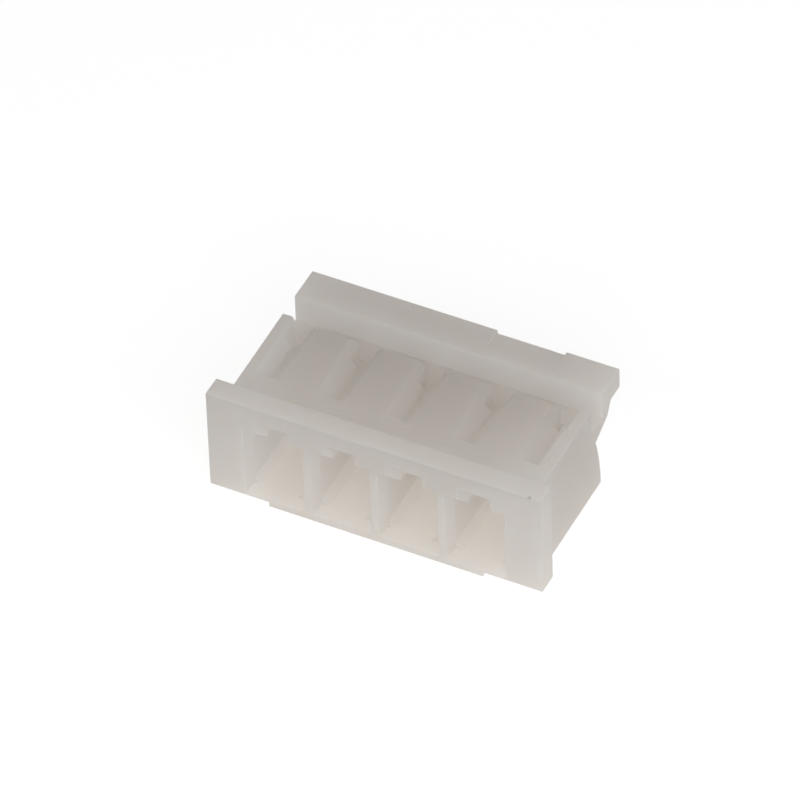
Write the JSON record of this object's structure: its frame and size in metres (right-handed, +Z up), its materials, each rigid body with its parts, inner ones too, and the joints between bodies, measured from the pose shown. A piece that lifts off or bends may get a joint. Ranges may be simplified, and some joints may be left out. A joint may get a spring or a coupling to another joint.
{
  "type": "wire to board connector housing",
  "caption": "Low-profile crimp housing for a wire to board connector, one row of cavities with a wire flange, roof fingers, lance window and mating lip.",
  "frame": {"origin": "centre of the footprint on the plane of the underside pad", "axes": "+X along the row of circuits, +Y from the wire face towards the mating face, +Z up, towards the lance window"},
  "size_m": [0.0124, 0.007, 0.0044],
  "materials": {
    "nylon": "natural unpainted nylon, slightly translucent, satin"
  },
  "bodies": {
    "root": {"housing": "nylon"}
  },
  "joints": []
}
